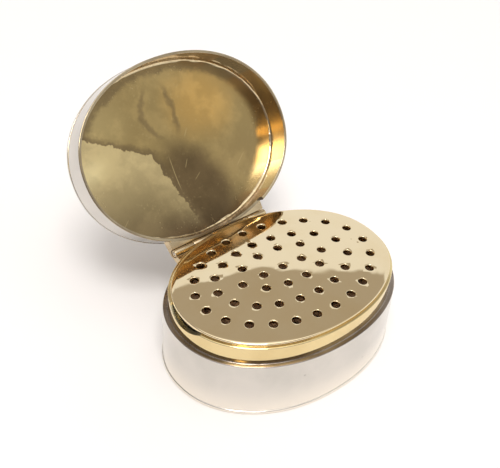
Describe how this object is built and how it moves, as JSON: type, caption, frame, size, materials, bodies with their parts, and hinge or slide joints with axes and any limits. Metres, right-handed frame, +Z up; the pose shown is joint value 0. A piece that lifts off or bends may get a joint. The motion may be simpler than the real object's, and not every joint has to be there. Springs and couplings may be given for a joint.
{
  "type": "vinaigrette",
  "caption": "Small oval silver box with a gilt interior, a pierced gilt grille that lifts out over a sponge well, and a lid hinged along the back, shown open.",
  "frame": {"origin": "middle of the underside of the base plate, at the centre of the oval", "axes": "+X along the oval's long axis, +Y to the hinge at the back, +Z up out of the box"},
  "size_m": [0.0362, 0.0473, 0.0323],
  "materials": {
    "silver": "hand-polished silver with fine scratches",
    "parcel_gilt": "polished silver outside, worn gilding inside",
    "gilt": "polished gilding",
    "pin_steel": "drawn wire",
    "sponge": "dry brown natural sponge"
  },
  "bodies": {
    "body": {"base_plate": "silver", "body_wall": "silver", "bezel": "gilt", "sponge": "sponge", "body_hinge_leaf": "parcel_gilt", "body_knuckle_1": "parcel_gilt", "body_knuckle_2": "parcel_gilt", "body_knuckle_3": "parcel_gilt", "hinge_pin": "pin_steel"},
    "lid": {"lid_plate": "parcel_gilt", "lid_wall": "parcel_gilt", "lid_hinge_leaf": "parcel_gilt", "lid_knuckle_1": "parcel_gilt", "lid_knuckle_2": "parcel_gilt"},
    "grille": {"grille_plate": "gilt", "grille_skirt": "gilt"}
  },
  "joints": [
    {"name": "lid_hinge", "type": "hinge", "parent": "body", "child": "lid", "pos_m": [0, 0.01401, 0.0099], "axis": [-1, 0, 0], "range_deg": [-127.5, 0]},
    {"name": "grille_lift", "type": "slide", "parent": "body", "child": "grille", "axis": [0, 0, 1], "range_m": [0, 0.02]}
  ]
}
